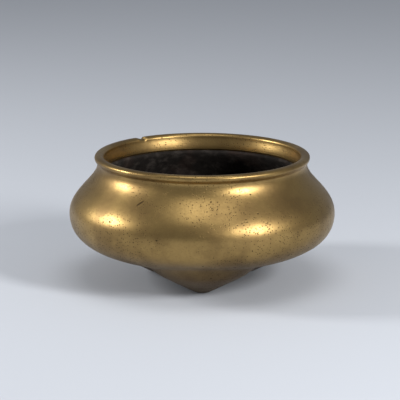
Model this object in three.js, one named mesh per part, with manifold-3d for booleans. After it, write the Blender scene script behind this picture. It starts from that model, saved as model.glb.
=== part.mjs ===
// Bronze tripod incense burner of the low, round-bellied li form, in millimetres with +Z up.
// The origin is on the table under the middle of the bowl, and one foot points to the front, along -Y.
// The bowl is one thick casting: rolled lip, short waisted neck, pressed belly, rounded underside.
// Three conical feet were cast first, and the bowl was cast around their dovetailed roots.
// Square plugs fill the holes of the pins that carried the casting core, and a burnt crust lines the inside.
import * as THREE from "three";
import { mergeVertices } from "three/addons/utils/BufferGeometryUtils.js";
import Module from "manifold-3d";

const wasm = await Module();
wasm.setup();

// Bowl
const height = 66.5;
const bellyRadius = 69;
const bellyHeight = 36.0;
const undersideHeight = 12.2;
const wall = 4.6;

// Fullness of the curves, as the share of each curve's run that its handles take up
const undersideFlat = 0.776;
const undersideTurn = 0.353;
const shoulderStart = 0.43;
const shoulderEnd = 0.662;
const ceilingStart = 0.2;
const ceilingEnd = 0.7;

// Lip and neck
const lipRadius = 55.8;
const lipWidth = 4.8;
const lipCrown = 1.7; // height of the rounded top of the lip
const lipDepth = 3.1; // from the top of the lip to where it tucks into the neck
const neckInset = 1.4; // how far the neck stands back from the lip
const neckDepth = 4.7; // from the top of the lip to the narrowest neck
const throatInset = 1.1; // how far the throat closes in from the inner edge of the lip
const throatDepth = 8; // from the top of the lip to the throat edge
const throatLedge = 0.8; // the step under the throat edge

// Feet
const footCount = 3;
const footCircle = 27; // distance of each foot from the middle
const footTipRadius = 3.8;
const footTipRound = 0.5;
const footSlope = 0.557; // rise of the foot's cone for each millimetre outwards
const footFlareRadius = 16; // beyond this distance the cone curves up into the underside
const footFlare = 0.004; // rise of that curve for each cubic millimetre
const footBlend = 5.5; // height over which a foot swells out of the underside
const seatHeight = 6; // the flat joint between a foot and its boss
const rootRadius = 5;
const rootFlare = 1; // the root is a dovetail, this much wider at its end
const rootLength = 7.2;

// Core plugs, crust and clearances
const plugSide = 5;
const plugCircle = 30;
const crust = 0.7;
const clearance = 0.3;

// Fineness of the facets
const bowlSegments = 48;
const crustSegments = 32;
const footSegments = 24;
const undersideSteps = 14;
const shoulderSteps = 8;
const lipSteps = 6;
const insideSteps = 7;

const mouthRadius = lipRadius - lipWidth;
const neckRadius = lipRadius - neckInset;
const throatRadius = mouthRadius - throatInset;
const throatHeight = height - throatDepth;
const seatRadius = footTipRadius + seatHeight / footSlope;

const bronze = new THREE.MeshStandardMaterial({ color: 0x9c7d48, metalness: 1, roughness: 0.35 });
const plugBronze = new THREE.MeshStandardMaterial({ color: 0x8c6a42, metalness: 1, roughness: 0.45 });
const burntCrust = new THREE.MeshStandardMaterial({ color: 0x1d1815, metalness: 0, roughness: 0.95 });

// Turns a closed geometry into a solid that can be cut and joined.
function solidOf(geometry) {
  const bare = geometry.index ? geometry.toNonIndexed() : geometry.clone();
  bare.deleteAttribute("normal");
  bare.deleteAttribute("uv");
  const merged = mergeVertices(bare, 1e-3);
  return new wasm.Manifold(
    new wasm.Mesh({
      numProp: 3,
      vertProperties: merged.attributes.position.array,
      triVerts: new Uint32Array(merged.index.array),
    }),
  );
}

function geometryOf(solid) {
  const mesh = solid.getMesh();
  const geometry = new THREE.BufferGeometry();
  const points = new Float32Array(mesh.vertProperties);
  geometry.setAttribute("position", new THREE.BufferAttribute(points, mesh.numProp));
  geometry.setIndex(new THREE.BufferAttribute(new Uint32Array(mesh.triVerts), 1));
  geometry.computeVertexNormals();
  return geometry;
}

// A profile of (radius, height) points turned about +Z.
function turned(profile, segments) {
  return new THREE.LatheGeometry(profile, segments).rotateX(Math.PI / 2);
}

function bezier(steps, ...ends) {
  const points = ends.map(([radius, level]) => new THREE.Vector2(radius, level));
  return new THREE.CubicBezierCurve(...points).getPoints(steps);
}

// Underside and belly from the middle outwards, as the outside of the bowl shows them.
const underside = bezier(
  undersideSteps,
  [0, undersideHeight],
  [bellyRadius * undersideFlat, undersideHeight],
  [bellyRadius, undersideHeight + (bellyHeight - undersideHeight) * undersideTurn],
  [bellyRadius, bellyHeight],
);

// Shoulder from the belly up to the narrowest part of the neck: an S that starts and ends upright.
const neckHeight = height - neckDepth;
const shoulderRise = neckHeight - bellyHeight;
const shoulder = bezier(
  shoulderSteps,
  [bellyRadius, bellyHeight],
  [bellyRadius, bellyHeight + shoulderRise * shoulderStart],
  [neckRadius, bellyHeight + shoulderRise * shoulderEnd],
  [neckRadius, neckHeight],
);

// The lip rolls out of the neck, over its crown and down to its inner edge.
function lip() {
  const crownHeight = height - lipCrown;
  const tuck = bezier(
    2,
    [neckRadius, neckHeight],
    [neckRadius, height - lipDepth - neckInset / 2],
    [lipRadius, height - lipDepth],
    [lipRadius, crownHeight],
  );
  const crown = new THREE.EllipseCurve(
    (lipRadius + mouthRadius) / 2,
    crownHeight,
    lipWidth / 2,
    lipCrown,
    0,
    Math.PI,
  ).getPoints(lipSteps);
  return [...tuck.slice(1), ...crown.slice(1)];
}

// The inside of the bowl from under the throat to the middle of the floor, moved in by an inset.
function inside(inset) {
  const radius = bellyRadius - wall - inset;
  const top = throatHeight - throatLedge - inset;
  const neck = throatRadius + throatLedge - inset;
  const floor = undersideHeight + wall + inset;
  const ceiling = bezier(
    insideSteps,
    [neck, top],
    [neck, top - (top - bellyHeight) * ceilingStart],
    [radius, top - (top - bellyHeight) * ceilingEnd],
    [radius, bellyHeight],
  );
  const bowl = bezier(
    insideSteps,
    [radius, bellyHeight],
    [radius, floor + (bellyHeight - floor) * undersideTurn],
    [radius * undersideFlat, floor],
    [0, floor],
  );
  return [...ceiling, ...bowl.slice(1)];
}

const footAngles = Array.from(
  { length: footCount },
  (_, i) => -Math.PI / 2 + (i * 2 * Math.PI) / footCount,
);

function onCircle(radius, angle) {
  return [radius * Math.cos(angle), radius * Math.sin(angle)];
}

// Height of a foot's surface at a distance from its middle: a cone that flares upwards further out.
function footSurface(away) {
  const beyond = Math.max(away - footFlareRadius, 0);
  return (away - footTipRadius) * footSlope + footFlare * beyond ** 3;
}

// The lower of two heights, rounded where they cross.
function smoothLower(a, b, reach) {
  const share = Math.max(reach - Math.abs(a - b), 0) / reach;
  return Math.min(a, b) - (share * share * reach) / 4;
}

// Presses the three foot cones out of the underside of the turned bowl.
function swellFeet(geometry) {
  const position = geometry.attributes.position;
  const rowLength = position.count / (bowlSegments + 1);
  for (let i = 0; i < position.count; i += 1) {
    if (i % rowLength > undersideSteps) continue;
    let level = position.getZ(i);
    for (const angle of footAngles) {
      const [x, y] = onCircle(footCircle, angle);
      const away = Math.hypot(position.getX(i) - x, position.getY(i) - y);
      level = smoothLower(level, footSurface(away), footBlend);
    }
    position.setZ(i, level);
  }
  return geometry;
}

function bowlCasting() {
  const throat = new THREE.Vector2(throatRadius, throatHeight);
  const profile = [...underside, ...shoulder.slice(1), ...lip(), throat, ...inside(0)];
  return solidOf(swellFeet(turned(profile, bowlSegments)));
}

// A foot's root, or the pocket that holds it when it is given a clearance.
function rootProfile(room) {
  const end = seatHeight + rootLength + room;
  return [
    new THREE.Vector2(rootRadius + room, seatHeight),
    new THREE.Vector2(rootRadius + rootFlare + room, end),
    new THREE.Vector2(0, end),
  ];
}

function foot() {
  const profile = [
    new THREE.Vector2(0, 0),
    new THREE.Vector2(footTipRadius - footTipRound, 0),
    new THREE.Vector2(footTipRadius + (footTipRound * 0.5) / footSlope, footTipRound * 0.5),
    new THREE.Vector2(seatRadius, seatHeight),
    ...rootProfile(0),
  ];
  return turned(profile, footSegments);
}

function rootPocket(angle) {
  const below = seatHeight - clearance;
  const mouth = [new THREE.Vector2(0, below), new THREE.Vector2(rootRadius + clearance, below)];
  const pocket = solidOf(turned([...mouth, ...rootProfile(clearance)], footSegments));
  return pocket.translate([...onCircle(footCircle, angle), 0]);
}

// A square post through the floor of the bowl.
function post(side, x, y) {
  return solidOf(new THREE.BoxGeometry(side, side, height).translate(x, y, 0));
}

const plugPlaces = {
  core_plug_back: onCircle(plugCircle, Math.PI / 2),
  core_plug_left: onCircle(plugCircle, (7 * Math.PI) / 6),
  core_plug_right: onCircle(plugCircle, (11 * Math.PI) / 6),
  core_plug_middle: [0, 0],
};

const burner = new THREE.Group();

function add(name, geometry, material) {
  const mesh = new THREE.Mesh(geometry, material);
  mesh.name = name;
  burner.add(mesh);
  return mesh;
}

const casting = bowlCasting();
const belowSeats = solidOf(
  new THREE.BoxGeometry(3 * bellyRadius, 3 * bellyRadius, height).translate(0, 0, seatHeight - height / 2),
);
let bowl = casting.subtract(belowSeats);
for (const angle of footAngles) bowl = bowl.subtract(rootPocket(angle));
for (const [name, [x, y]] of Object.entries(plugPlaces)) {
  add(name, geometryOf(casting.intersect(post(plugSide, x, y))), plugBronze);
  bowl = bowl.subtract(post(plugSide + 2 * clearance, x, y));
}
add("bowl_casting", geometryOf(bowl), bronze);

["foot_front", "foot_back_right", "foot_back_left"].forEach((name, i) => {
  const [x, y] = onCircle(footCircle, footAngles[i]);
  add(name, foot(), bronze).position.set(x, y, 0);
});

const crustProfile = [...inside(clearance).reverse(), ...inside(clearance + crust)];
add("burnt_crust", turned(crustProfile, crustSegments), burntCrust);

export default burner;
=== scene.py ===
# A low bronze tripod incense burner on a plain pale floor, seen from a little above.
# The frame is in metres with +Z up and the front foot towards -Y.
# The shapes are worked out in millimetres and scaled as their meshes are made.
import math

import bmesh
import bpy
import numpy as np
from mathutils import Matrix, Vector, noise


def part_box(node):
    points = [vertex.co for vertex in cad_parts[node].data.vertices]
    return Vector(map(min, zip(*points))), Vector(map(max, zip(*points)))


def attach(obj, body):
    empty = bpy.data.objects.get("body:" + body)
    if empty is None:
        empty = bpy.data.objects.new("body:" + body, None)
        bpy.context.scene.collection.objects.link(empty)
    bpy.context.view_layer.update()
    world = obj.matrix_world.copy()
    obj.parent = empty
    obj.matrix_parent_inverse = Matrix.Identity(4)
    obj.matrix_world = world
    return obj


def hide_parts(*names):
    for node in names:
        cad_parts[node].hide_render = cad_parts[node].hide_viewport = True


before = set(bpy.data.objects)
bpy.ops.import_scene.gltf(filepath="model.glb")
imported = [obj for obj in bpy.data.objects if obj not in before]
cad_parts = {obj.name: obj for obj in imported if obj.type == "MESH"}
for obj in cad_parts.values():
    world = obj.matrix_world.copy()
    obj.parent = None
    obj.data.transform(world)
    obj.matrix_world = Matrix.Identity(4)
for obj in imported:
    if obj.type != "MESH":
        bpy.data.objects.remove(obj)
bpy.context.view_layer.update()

MM = 0.001

# Sizes of the bowl, the first three read from its box in the frame
bowl_low, bowl_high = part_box("bowl_casting")
HEIGHT = bowl_high.z / MM
BELLY_RADIUS = bowl_high.x / MM
SEAT_HEIGHT = bowl_low.z / MM
BELLY_HEIGHT = 36.0
UNDERSIDE_HEIGHT = 12.2
WALL = 4.6
LIP_RADIUS = 55.8
LIP_WIDTH = 4.8
LIP_CROWN = 1.7
LIP_DEPTH = 3.1
NECK_RADIUS = 54.4
NECK_DEPTH = 4.7
MOUTH_RADIUS = LIP_RADIUS - LIP_WIDTH
THROAT_RADIUS = 49.9
THROAT_DEPTH = 8.0
THROAT_LEDGE = 0.8

# Fullness of the curves, as the share of each curve's run that its handles take up
UNDERSIDE_FLAT = 0.776
UNDERSIDE_TURN = 0.353
SHOULDER_START = 0.43
SHOULDER_END = 0.662
CEILING_START = 0.2
CEILING_END = 0.7

# Length of the throat curve's handles at the lip and at the throat edge
THROAT_START = 1.5
THROAT_END = 2.5

# Sizes of the feet, placed by their own nodes
FOOT_NODES = ("foot_front", "foot_back_right", "foot_back_left")
FOOT_TIP_RADIUS = 3.8
FOOT_TIP_ROUND = 0.9
FOOT_SLOPE = 0.557
FOOT_FLARE_RADIUS = 16
FOOT_FLARE = 0.004
FOOT_SEAT_RADIUS = FOOT_TIP_RADIUS + SEAT_HEIGHT / FOOT_SLOPE
FOOT_BLEND = 5.5
FOOT_BLEND_GROWTH = 0.55  # how much wider the blend grows for each millimetre beyond the seat
FOOT_BLEND_LIMIT = 10.5
FOOT_REACH = 20  # a circle that holds one foot below its seat, and none of the others

# The slight waviness of hand filing
FINISH_DEPTH = 0.3
FINISH_WAVE = 16

# The old nick in the lip, at the back left, with one long slope and one steep side
NICK_ANGLE = math.radians(127)
NICK_DEPTH = 1.15
NICK_SLOPE = 5.5
NICK_STEP = 1.2
NICK_REACH = 3.2

# The square plugs of the core pins, seen from underneath
PLUG_NODES = ("core_plug_back", "core_plug_left", "core_plug_right", "core_plug_middle")
PLUG_PROUD = 0.07  # how far a plug stands out of the underside
PLUG_ROOT = 1.2  # how far it reaches into the wall
PLUG_SOFT = 0.2  # the share of its half width over which its edge slopes
PLUG_STEPS = 10

# The burnt crust: its hidden face lies just off the wall, and its lumps stand on the face that shows
CRUST_BACK = 0.1
CRUST_FACE = 1.0
CRUST_LUMP = 0.3
CRUST_LUMP_WIDTH = 5

# Fineness of the turned meshes
SEGMENTS = 480
UNDERSIDE_STEPS = 110
SHOULDER_STEPS = 44
TUCK_STEPS = 10
CROWN_STEPS = 20
THROAT_STEPS = 8
INSIDE_STEPS = 24
CRUST_SEGMENTS = 240

# Colours, as linear red, green and blue
BRIGHT_BRONZE = (0.37, 0.245, 0.09)
CLOUDED_BRONZE = (0.22, 0.142, 0.055)
# The foot colour is partly patina and partly painted shade: the bowl is darker low down, as if it reflected
# a dim floor
FOOT_PATINA_AND_SHADE = (0.095, 0.06, 0.03)
BRIGHT_PLUG = (0.36, 0.215, 0.09)
CLOUDED_PLUG = (0.26, 0.155, 0.07)
# The plugs' low colour is partly patina and partly painted shade, as on the feet
PLUG_PATINA_AND_SHADE = (0.13, 0.085, 0.05)
PIT_DARK = (0.035, 0.022, 0.012)
SOOT = (0.014, 0.011, 0.009)
ASH = (0.06, 0.05, 0.043)
RUST = (0.035, 0.02, 0.015)
STUDIO = (0.56, 0.585, 0.63)

# The heights, in metres, between which the bronze turns to the browner, darker colour of the feet. This
# colour is partly patina and partly painted shade, darkening the lower bowl as if it reflected a dim floor
PATINA_AND_SHADE_START = 0.037
PATINA_AND_SHADE_FULL = 0.016
PATINA_AND_SHADE_DRIFT = 0.012

# The slanting casting flaw on the left of the shoulder: its middle, direction and size in metres
FLAW_MIDDLE = (-0.0305, -0.0510, 0.0520)
FLAW_TURN = (0.0, math.radians(-38), math.radians(-31))
FLAW_SIZE = (0.0030, 0.004, 0.0005)

# The camera, from the photograph: its height angle, distance and the point at the middle of the picture
CAMERA_ELEVATION = math.radians(13.3)
CAMERA_DISTANCE = 1.0
CAMERA_TARGET = Vector((-0.00115, 0, 0.0416))
SENSOR_WIDTH = 36
PICTURE_WIDTH = 0.2078  # what the picture takes in at the middle of the bowl

FLOOR_RADIUS = 6
WORLD_STRENGTH = 0.45


def node_middle(name):
    """Where a node stands, in millimetres."""
    low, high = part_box(name)
    return (low.x + high.x) / 2 / MM, (low.y + high.y) / 2 / MM


FOOT_PLACES = {name: node_middle(name) for name in FOOT_NODES}


def bezier(steps, *ends):
    """Points along a cubic curve, as an array of (radius, height)."""
    a, b, c, d = (np.array(e, float) for e in ends)
    t = np.linspace(0, 1, steps + 1)[:, None]
    return a * (1 - t) ** 3 + 3 * b * t * (1 - t) ** 2 + 3 * c * t * t * (1 - t) + d * t**3


def underside():
    rise = BELLY_HEIGHT - UNDERSIDE_HEIGHT
    return bezier(
        UNDERSIDE_STEPS,
        (0, UNDERSIDE_HEIGHT),
        (BELLY_RADIUS * UNDERSIDE_FLAT, UNDERSIDE_HEIGHT),
        (BELLY_RADIUS, UNDERSIDE_HEIGHT + rise * UNDERSIDE_TURN),
        (BELLY_RADIUS, BELLY_HEIGHT),
    )


def shoulder():
    neck_height = HEIGHT - NECK_DEPTH
    rise = neck_height - BELLY_HEIGHT
    return bezier(
        SHOULDER_STEPS,
        (BELLY_RADIUS, BELLY_HEIGHT),
        (BELLY_RADIUS, BELLY_HEIGHT + rise * SHOULDER_START),
        (NECK_RADIUS, BELLY_HEIGHT + rise * SHOULDER_END),
        (NECK_RADIUS, neck_height),
    )


def lip():
    """The rolled lip, from the neck over its crown to its inner edge."""
    crown_height = HEIGHT - LIP_CROWN
    tuck = bezier(
        TUCK_STEPS,
        (NECK_RADIUS, HEIGHT - NECK_DEPTH),
        (NECK_RADIUS, HEIGHT - LIP_DEPTH - (LIP_RADIUS - NECK_RADIUS) / 2),
        (LIP_RADIUS, HEIGHT - LIP_DEPTH),
        (LIP_RADIUS, crown_height),
    )
    turn = np.linspace(0, math.pi, CROWN_STEPS + 1)[1:]
    middle = (LIP_RADIUS + MOUTH_RADIUS) / 2
    crown = np.stack([middle + np.cos(turn) * LIP_WIDTH / 2, crown_height + np.sin(turn) * LIP_CROWN], 1)
    return np.concatenate([tuck, crown])


def throat():
    """The bright inner neck, down to the sharp edge of the throat."""
    top = HEIGHT - LIP_CROWN
    edge = HEIGHT - THROAT_DEPTH
    return bezier(
        THROAT_STEPS,
        (MOUTH_RADIUS, top),
        (MOUTH_RADIUS, top - THROAT_START),
        (THROAT_RADIUS, edge + THROAT_END),
        (THROAT_RADIUS, edge),
    )


def inside(inset):
    """The inside of the bowl from under the throat to the middle of the floor."""
    radius = BELLY_RADIUS - WALL - inset
    top = HEIGHT - THROAT_DEPTH - THROAT_LEDGE - inset
    neck = THROAT_RADIUS + THROAT_LEDGE - inset
    floor = UNDERSIDE_HEIGHT + WALL + inset
    drop = top - BELLY_HEIGHT
    rise = BELLY_HEIGHT - floor
    ceiling = bezier(
        INSIDE_STEPS,
        (neck, top),
        (neck, top - drop * CEILING_START),
        (radius, top - drop * CEILING_END),
        (radius, BELLY_HEIGHT),
    )
    bowl = bezier(
        INSIDE_STEPS,
        (radius, BELLY_HEIGHT),
        (radius, floor + rise * UNDERSIDE_TURN),
        (radius * UNDERSIDE_FLAT, floor),
        (0, floor),
    )
    return np.concatenate([ceiling, bowl[1:]])


def foot_surface(away):
    """Height of a foot at a distance from its middle: a cone that flares upwards further out."""
    beyond = np.maximum(away - FOOT_FLARE_RADIUS, 0)
    cone = (away - FOOT_TIP_RADIUS) * FOOT_SLOPE + FOOT_FLARE * beyond**3
    share = np.maximum(FOOT_TIP_ROUND - np.abs(cone), 0) / FOOT_TIP_ROUND
    rounding = share**2 * FOOT_TIP_ROUND / 4 * (away > FOOT_TIP_RADIUS / 2)
    return np.maximum(cone, 0) + rounding


def swell_feet(points):
    """The height of the underside at each point once the three feet are pressed out of it."""
    level = points[:, 2]
    for x, y in FOOT_PLACES.values():
        away = np.hypot(points[:, 0] - x, points[:, 1] - y)
        foot = foot_surface(away)
        growth = FOOT_BLEND_GROWTH * np.maximum(away - FOOT_SEAT_RADIUS, 0)
        blend = np.minimum(FOOT_BLEND + growth, FOOT_BLEND_LIMIT)
        share = np.maximum(blend - np.abs(level - foot), 0) / blend
        level = np.minimum(level, foot) - share**2 * blend / 4
    return np.maximum(level, 0)


def turned(profile, segments):
    """Vertices and faces of a closed profile, from axis to axis, turned about +Z."""
    rings = profile[1:-1]
    angle = np.arange(segments) * 2 * math.pi / segments
    radius, level = rings[:, 0][:, None], rings[:, 1][:, None]
    grid = np.stack([radius * np.cos(angle), radius * np.sin(angle), level + 0 * angle], -1)
    points = np.concatenate([grid.reshape(-1, 3), [[0, 0, profile[0][1]], [0, 0, profile[-1][1]]]])
    faces = []
    for ring in range(len(rings) - 1):
        for i in range(segments):
            j = (i + 1) % segments
            a, b = ring * segments, (ring + 1) * segments
            faces.append((a + i, a + j, b + j, b + i))
    first, last = len(points) - 2, len(points) - 1
    top = (len(rings) - 1) * segments
    faces += [(first, (i + 1) % segments, i) for i in range(segments)]
    faces += [(last, top + i, top + (i + 1) % segments) for i in range(segments)]
    return points, faces


def hand_finish(points):
    """Moves each point inwards by a little smooth noise, as hand filing leaves it."""
    moved = points.copy()
    for i, (x, y, z) in enumerate(points):
        shift = FINISH_DEPTH * (noise.noise(Vector((x, y, z)) / FINISH_WAVE) - 1) / 2
        reach = math.hypot(x, y)
        if reach > 1:
            moved[i, 0] += x / reach * shift
            moved[i, 1] += y / reach * shift
    return moved


def nick_lip(points):
    """Lowers the lip at the nick, by less and less down to the nick's reach."""
    along = (NICK_ANGLE - np.arctan2(points[:, 1], points[:, 0])) * LIP_RADIUS
    slope = np.clip(1 + along / NICK_SLOPE, 0, 1) * (along <= 0)
    step = np.clip(1 - along / NICK_STEP, 0, 1) * (along > 0)
    share = slope + step
    share = share * share * (3 - 2 * share)
    near_top = np.clip((points[:, 2] - (HEIGHT - NICK_REACH)) / NICK_REACH, 0, 1)
    points[:, 2] -= NICK_DEPTH * share * near_top
    return points


def casting_points():
    """The bowl and its feet as one surface, before it is cut at the seats."""
    profile = np.concatenate([underside(), shoulder()[1:], lip()[1:], throat()[1:], inside(0)])
    points, faces = turned(profile, SEGMENTS)
    count = UNDERSIDE_STEPS * SEGMENTS
    points[:count, 2] = swell_feet(points[:count])
    points[-2, 2] = swell_feet(points[-2:-1])[0]
    return nick_lip(hand_finish(points)), faces


def mesh_of(points, faces):
    bm = bmesh.new()
    made = [bm.verts.new(p * MM) for p in points]
    for face in faces:
        bm.faces.new([made[i] for i in face])
    return bm


def new_object(name, bm, material, sharp=35):
    """An object with smooth shading, apart from edges sharper than an angle in degrees."""
    bmesh.ops.recalc_face_normals(bm, faces=bm.faces)
    mesh = bpy.data.meshes.new(name)
    bm.to_mesh(mesh)
    bm.free()
    mesh.polygons.foreach_set("use_smooth", [True] * len(mesh.polygons))
    mesh.set_sharp_from_angle(angle=math.radians(sharp))
    mesh.materials.append(material)
    obj = bpy.data.objects.new(name, mesh)
    bpy.context.scene.collection.objects.link(obj)
    return obj


def cut_at_seat(bm, keep_above):
    """Cuts the mesh along the flat joint of the feet and closes the cut."""
    bmesh.ops.bisect_plane(
        bm,
        geom=[*bm.verts, *bm.edges, *bm.faces],
        dist=1e-7,
        plane_co=(0, 0, SEAT_HEIGHT * MM),
        plane_no=(0, 0, 1),
        clear_inner=keep_above,
        clear_outer=not keep_above,
    )
    bmesh.ops.edgeloop_fill(bm, edges=[e for e in bm.edges if e.is_boundary])


def math_node(tree, operation, a, b):
    node = tree.nodes.new("ShaderNodeMath")
    node.operation = operation
    for socket, value in zip(node.inputs, (a, b)):
        if isinstance(value, (int, float)):
            socket.default_value = value
        else:
            tree.links.new(value, socket)
    return node.outputs[0]


def scaled(tree, value, by):
    return math_node(tree, "MULTIPLY", value, by)


def ramp(tree, value, low, high):
    """0 at low, 1 at high and smooth between, whichever of the two is the greater."""
    node = tree.nodes.new("ShaderNodeMapRange")
    node.interpolation_type = "SMOOTHSTEP"
    tree.links.new(value, node.inputs["Value"])
    node.inputs["From Min"].default_value = low
    node.inputs["From Max"].default_value = high
    return node.outputs["Result"]


def mix_colour(tree, factor, a, b):
    node = tree.nodes.new("ShaderNodeMix")
    node.data_type = "RGBA"
    tree.links.new(factor, node.inputs["Factor"])
    for socket, value in ((node.inputs["A"], a), (node.inputs["B"], b)):
        if isinstance(value, tuple):
            socket.default_value = (*value, 1)
        else:
            tree.links.new(value, socket)
    return node.outputs["Result"]


def place(tree, stretch=(1, 1, 1)):
    """Object coordinates in metres, stretched along the axes."""
    coordinates = tree.nodes.new("ShaderNodeTexCoord").outputs["Object"]
    mapping = tree.nodes.new("ShaderNodeMapping")
    mapping.inputs["Scale"].default_value = stretch
    tree.links.new(coordinates, mapping.inputs["Vector"])
    return mapping.outputs["Vector"]


def noise_of(tree, scale, detail, rough=0.55, stretch=(1, 1, 1)):
    node = tree.nodes.new("ShaderNodeTexNoise")
    node.inputs["Scale"].default_value = scale
    node.inputs["Detail"].default_value = detail
    node.inputs["Roughness"].default_value = rough
    tree.links.new(place(tree, stretch), node.inputs["Vector"])
    return node.outputs["Fac"]


def pits_of(tree, cells, size, share):
    """1 inside small round pits. Only a share of the cells holds one."""
    node = tree.nodes.new("ShaderNodeTexVoronoi")
    node.inputs["Scale"].default_value = cells
    tree.links.new(place(tree), node.inputs["Vector"])
    hole = ramp(tree, node.outputs["Distance"], low=size, high=size / 2)
    pick = tree.nodes.new("ShaderNodeSeparateColor")
    tree.links.new(node.outputs["Color"], pick.inputs["Color"])
    chosen = math_node(tree, "LESS_THAN", pick.outputs["Red"], share)
    return scaled(tree, hole, chosen)


def bump(tree, height, strength, distance, normal=None):
    node = tree.nodes.new("ShaderNodeBump")
    node.inputs["Strength"].default_value = strength
    node.inputs["Distance"].default_value = distance
    tree.links.new(height, node.inputs["Height"])
    if normal is not None:
        tree.links.new(normal, node.inputs["Normal"])
    return node.outputs["Normal"]


def flaw_of(tree):
    """1 inside the flaw, fading to 0 round it."""
    coordinates = tree.nodes.new("ShaderNodeTexCoord").outputs["Object"]
    mapping = tree.nodes.new("ShaderNodeMapping")
    mapping.vector_type = "TEXTURE"
    mapping.inputs["Location"].default_value = FLAW_MIDDLE
    mapping.inputs["Rotation"].default_value = FLAW_TURN
    mapping.inputs["Scale"].default_value = FLAW_SIZE
    tree.links.new(coordinates, mapping.inputs["Vector"])
    length = tree.nodes.new("ShaderNodeVectorMath")
    length.operation = "LENGTH"
    tree.links.new(mapping.outputs["Vector"], length.inputs[0])
    return ramp(tree, length.outputs["Value"], low=1.1, high=0.5)


def patina_and_shade_of(tree):
    """1 low on the bowl and its feet, 0 higher up, with an uneven border: the zone that is partly patina
    and partly painted shade.
    """
    level = tree.nodes.new("ShaderNodeSeparateXYZ")
    tree.links.new(place(tree), level.inputs["Vector"])
    drift = scaled(tree, noise_of(tree, scale=60, detail=3), PATINA_AND_SHADE_DRIFT)
    height = math_node(tree, "ADD", level.outputs["Z"], drift)
    return ramp(tree, height, low=PATINA_AND_SHADE_START, high=PATINA_AND_SHADE_FULL)


def holes_of(tree):
    """1 inside the casting pits, which crowd together in places, and inside the flaw."""
    crowd = ramp(tree, noise_of(tree, scale=26, detail=2), low=0.38, high=0.58)
    fine_pits = scaled(tree, pits_of(tree, cells=1000, size=0.36, share=0.5), crowd)
    large_pits = pits_of(tree, cells=260, size=0.14, share=0.2)
    pits = math_node(tree, "MAXIMUM", fine_pits, large_pits)
    return math_node(tree, "MAXIMUM", pits, flaw_of(tree))


def bronze_material(name, bright, clouded, patina_and_shade):
    """Old bronze: clouded colour, a browner foot zone that is partly patina and partly painted shade, fine
    vertical rubbing, pits and a casting flaw.
    """
    material = bpy.data.materials.new(name)
    material.use_nodes = True
    tree = material.node_tree
    shader = tree.nodes["Principled BSDF"]
    shader.inputs["Metallic"].default_value = 1.0

    clouds = ramp(tree, noise_of(tree, scale=42, detail=5, rough=0.6), low=0.38, high=0.66)
    specks = ramp(tree, noise_of(tree, scale=900, detail=3, rough=0.6), low=0.45, high=0.75)
    # low is the darker foot zone: partly patina, partly painted shade
    low = patina_and_shade_of(tree)
    holes = holes_of(tree)

    colour = mix_colour(tree, clouds, bright, clouded)
    colour = mix_colour(tree, scaled(tree, specks, 0.35), colour, clouded)
    # Painted shade mixed with patina: the colour darkens towards the bottom, as if the lower bowl reflected
    # a dim floor
    colour = mix_colour(tree, scaled(tree, low, 0.85), colour, patina_and_shade)
    colour = mix_colour(tree, scaled(tree, holes, 0.85), colour, PIT_DARK)
    tree.links.new(colour, shader.inputs["Base Color"])

    rough = 0.33
    for mask, rise in ((clouds, 0.07), (specks, 0.08), (low, 0.12), (holes, 0.4)):
        rough = math_node(tree, "ADD", rough, scaled(tree, mask, rise))
    tree.links.new(rough, shader.inputs["Roughness"])

    rubbing = noise_of(tree, scale=700, detail=2, rough=0.5, stretch=(1, 1, 0.08))
    normal = bump(tree, rubbing, strength=0.12, distance=0.0001)
    grain = noise_of(tree, scale=330, detail=4, rough=0.6)
    normal = bump(tree, grain, strength=0.2, distance=0.00016, normal=normal)
    skin = math_node(tree, "SUBTRACT", 1.0, holes)
    normal = bump(tree, skin, strength=0.4, distance=0.00015, normal=normal)
    tree.links.new(normal, shader.inputs["Normal"])
    return material


def crust_material():
    """Burnt incense residue: near black and rough, with patches of grey ash and of rust."""
    material = bpy.data.materials.new("burnt_crust")
    material.use_nodes = True
    tree = material.node_tree
    shader = tree.nodes["Principled BSDF"]
    shader.inputs["Roughness"].default_value = 0.92
    shader.inputs["Specular IOR Level"].default_value = 0.2
    ash = ramp(tree, noise_of(tree, scale=160, detail=6, rough=0.65), low=0.45, high=0.72)
    rust = ramp(tree, noise_of(tree, scale=55, detail=3), low=0.5, high=0.7)
    colour = mix_colour(tree, ash, SOOT, ASH)
    colour = mix_colour(tree, scaled(tree, rust, 0.6), colour, RUST)
    tree.links.new(colour, shader.inputs["Base Color"])
    crumbs = noise_of(tree, scale=420, detail=6, rough=0.7)
    tree.links.new(bump(tree, crumbs, strength=0.8, distance=0.0005), shader.inputs["Normal"])
    return material


def plain_material(name, colour, roughness):
    material = bpy.data.materials.new(name)
    material.use_nodes = True
    shader = material.node_tree.nodes["Principled BSDF"]
    shader.inputs["Base Color"].default_value = (*colour, 1)
    shader.inputs["Roughness"].default_value = roughness
    return material


def make_casting(casting, material):
    bm = mesh_of(*casting)
    cut_at_seat(bm, keep_above=True)
    piece = new_object("bowl_shell", bm, material)
    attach(piece, "root")
    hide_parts("bowl_casting")


def make_foot(node, casting, material):
    x, y = FOOT_PLACES[node]
    bm = mesh_of(*casting)
    cut_at_seat(bm, keep_above=False)
    far = [v for v in bm.verts if math.hypot(v.co.x / MM - x, v.co.y / MM - y) > FOOT_REACH]
    bmesh.ops.delete(bm, geom=far, context="VERTS")
    piece = new_object(node + "_tip", bm, material)
    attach(piece, "root")
    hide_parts(node)


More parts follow.
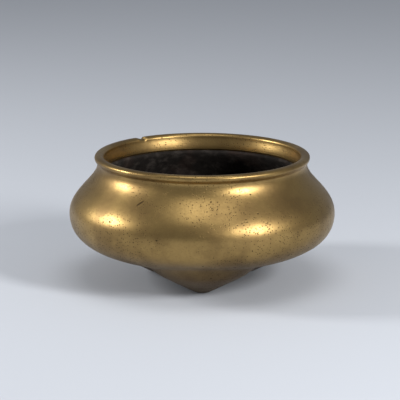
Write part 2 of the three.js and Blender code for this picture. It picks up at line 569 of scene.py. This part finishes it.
def make_plug(node, material):
    """A square plug that follows the curve of the underside, its edges softened by hammering."""
    low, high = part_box(node)
    x, y = node_middle(node)
    half = (high.x - low.x) / 2 / MM
    steps = np.linspace(-half, half, PLUG_STEPS + 1)
    grid = np.array([[x + a, y + b] for b in steps for a in steps])
    curve = underside()
    level = np.interp(np.hypot(grid[:, 0], grid[:, 1]), curve[:, 0], curve[:, 1])
    level = swell_feet(np.column_stack([grid, level]))
    edge = np.maximum(np.abs(grid[:, 0] - x), np.abs(grid[:, 1] - y)) / half
    face = level - PLUG_PROUD * (1 - np.clip(edge, 1 - PLUG_SOFT, 1)) / PLUG_SOFT
    bm = bmesh.new()
    bottom = [bm.verts.new(Vector((*p, z)) * MM) for p, z in zip(grid, face)]
    top = [bm.verts.new(Vector((*p, z + PLUG_ROOT)) * MM) for p, z in zip(grid, level)]
    row = PLUG_STEPS + 1
    for j in range(PLUG_STEPS):
        for i in range(PLUG_STEPS):
            a, b, c, d = j * row + i, j * row + i + 1, (j + 1) * row + i + 1, (j + 1) * row + i
            bm.faces.new([bottom[k] for k in (a, d, c, b)])
            bm.faces.new([top[k] for k in (a, b, c, d)])
    # The border runs along the first row, up the right side, back along the last row and down the left
    border = [*range(row), *range(2 * row - 1, row * row, row)]
    border += [*range(row * row - 2, row * (row - 1) - 1, -1), *range(row * (row - 2), 0, -row)]
    for a, b in zip(border, border[1:] + border[:1]):
        bm.faces.new([bottom[a], bottom[b], top[b], top[a]])
    piece = new_object(node + "_face", bm, material)
    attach(piece, "root")
    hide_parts(node)


def make_crust(material):
    """The burnt lining, with a lumpy face towards the inside."""
    outer, inner = inside(CRUST_BACK)[::-1], inside(CRUST_FACE)
    points, faces = turned(np.concatenate([outer, inner]), CRUST_SEGMENTS)
    start = (len(outer) + 1) * CRUST_SEGMENTS
    middle = np.array([0, 0, BELLY_HEIGHT])
    for i in range(start, len(points) - 2):
        towards = middle - points[i]
        towards /= max(np.linalg.norm(towards), 1e-6)
        points[i] += towards * CRUST_LUMP * noise.fractal(Vector(points[i]) / CRUST_LUMP_WIDTH, 1.0, 2.0, 4)
    piece = new_object("burnt_crust_lining", mesh_of(points, faces), material, sharp=60)
    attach(piece, "root")
    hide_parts("burnt_crust")


def make_burner():
    bronze = bronze_material("bronze", BRIGHT_BRONZE, CLOUDED_BRONZE, FOOT_PATINA_AND_SHADE)
    plug_bronze = bronze_material("plug_bronze", BRIGHT_PLUG, CLOUDED_PLUG, PLUG_PATINA_AND_SHADE)
    casting = casting_points()
    make_casting(casting, bronze)
    for node in FOOT_NODES:
        make_foot(node, casting, bronze)
    for node in PLUG_NODES:
        make_plug(node, plug_bronze)
    make_crust(crust_material())


def make_floor():
    bm = bmesh.new()
    bmesh.ops.create_circle(bm, cap_ends=True, radius=FLOOR_RADIUS, segments=64)
    floor = new_object("floor", bm, plain_material("floor", STUDIO, roughness=0.7))


def lamp(name, azimuth, elevation, distance, size, power):
    """A soft lamp aimed at the bowl. Azimuth 0 is in front, positive to the right."""
    data = bpy.data.lights.new(name, "AREA")
    data.shape = "RECTANGLE"
    data.size, data.size_y = size
    data.energy = power
    obj = bpy.data.objects.new(name, data)
    bpy.context.scene.collection.objects.link(obj)
    a, e = math.radians(azimuth), math.radians(elevation)
    away = Vector((math.sin(a) * math.cos(e), -math.cos(a) * math.cos(e), math.sin(e)))
    target = Vector((0, 0, BELLY_HEIGHT * MM))
    obj.location = target + away * distance
    obj.rotation_mode = "QUATERNION"
    obj.rotation_quaternion = away.to_track_quat("Z", "Y")


def make_light():
    world = bpy.data.worlds.new("studio")
    bpy.context.scene.world = world
    world.use_nodes = True
    background = world.node_tree.nodes["Background"]
    background.inputs["Color"].default_value = (*STUDIO, 1)
    background.inputs["Strength"].default_value = WORLD_STRENGTH
    lamp("right_lamp", azimuth=47, elevation=27, distance=1.1, size=(0.22, 0.34), power=11)
    lamp("left_lamp", azimuth=-92, elevation=24, distance=1.1, size=(0.24, 0.3), power=8)
    lamp("top_lamp", azimuth=10, elevation=78, distance=1.4, size=(0.9, 0.9), power=5.5)


def make_camera():
    data = bpy.data.cameras.new("camera")
    data.sensor_width = SENSOR_WIDTH
    data.lens = SENSOR_WIDTH * CAMERA_DISTANCE / PICTURE_WIDTH
    camera = bpy.data.objects.new("camera", data)
    bpy.context.scene.collection.objects.link(camera)
    back = Vector((0, -math.cos(CAMERA_ELEVATION), math.sin(CAMERA_ELEVATION)))
    camera.location = CAMERA_TARGET + back * CAMERA_DISTANCE
    camera.rotation_mode = "QUATERNION"
    camera.rotation_quaternion = (-back).to_track_quat("-Z", "Y")
    data.clip_start, data.clip_end = 0.01, 50
    bpy.context.scene.camera = camera


make_burner()
make_floor()
make_light()
make_camera()
bpy.context.scene.view_settings.view_transform = "Standard"
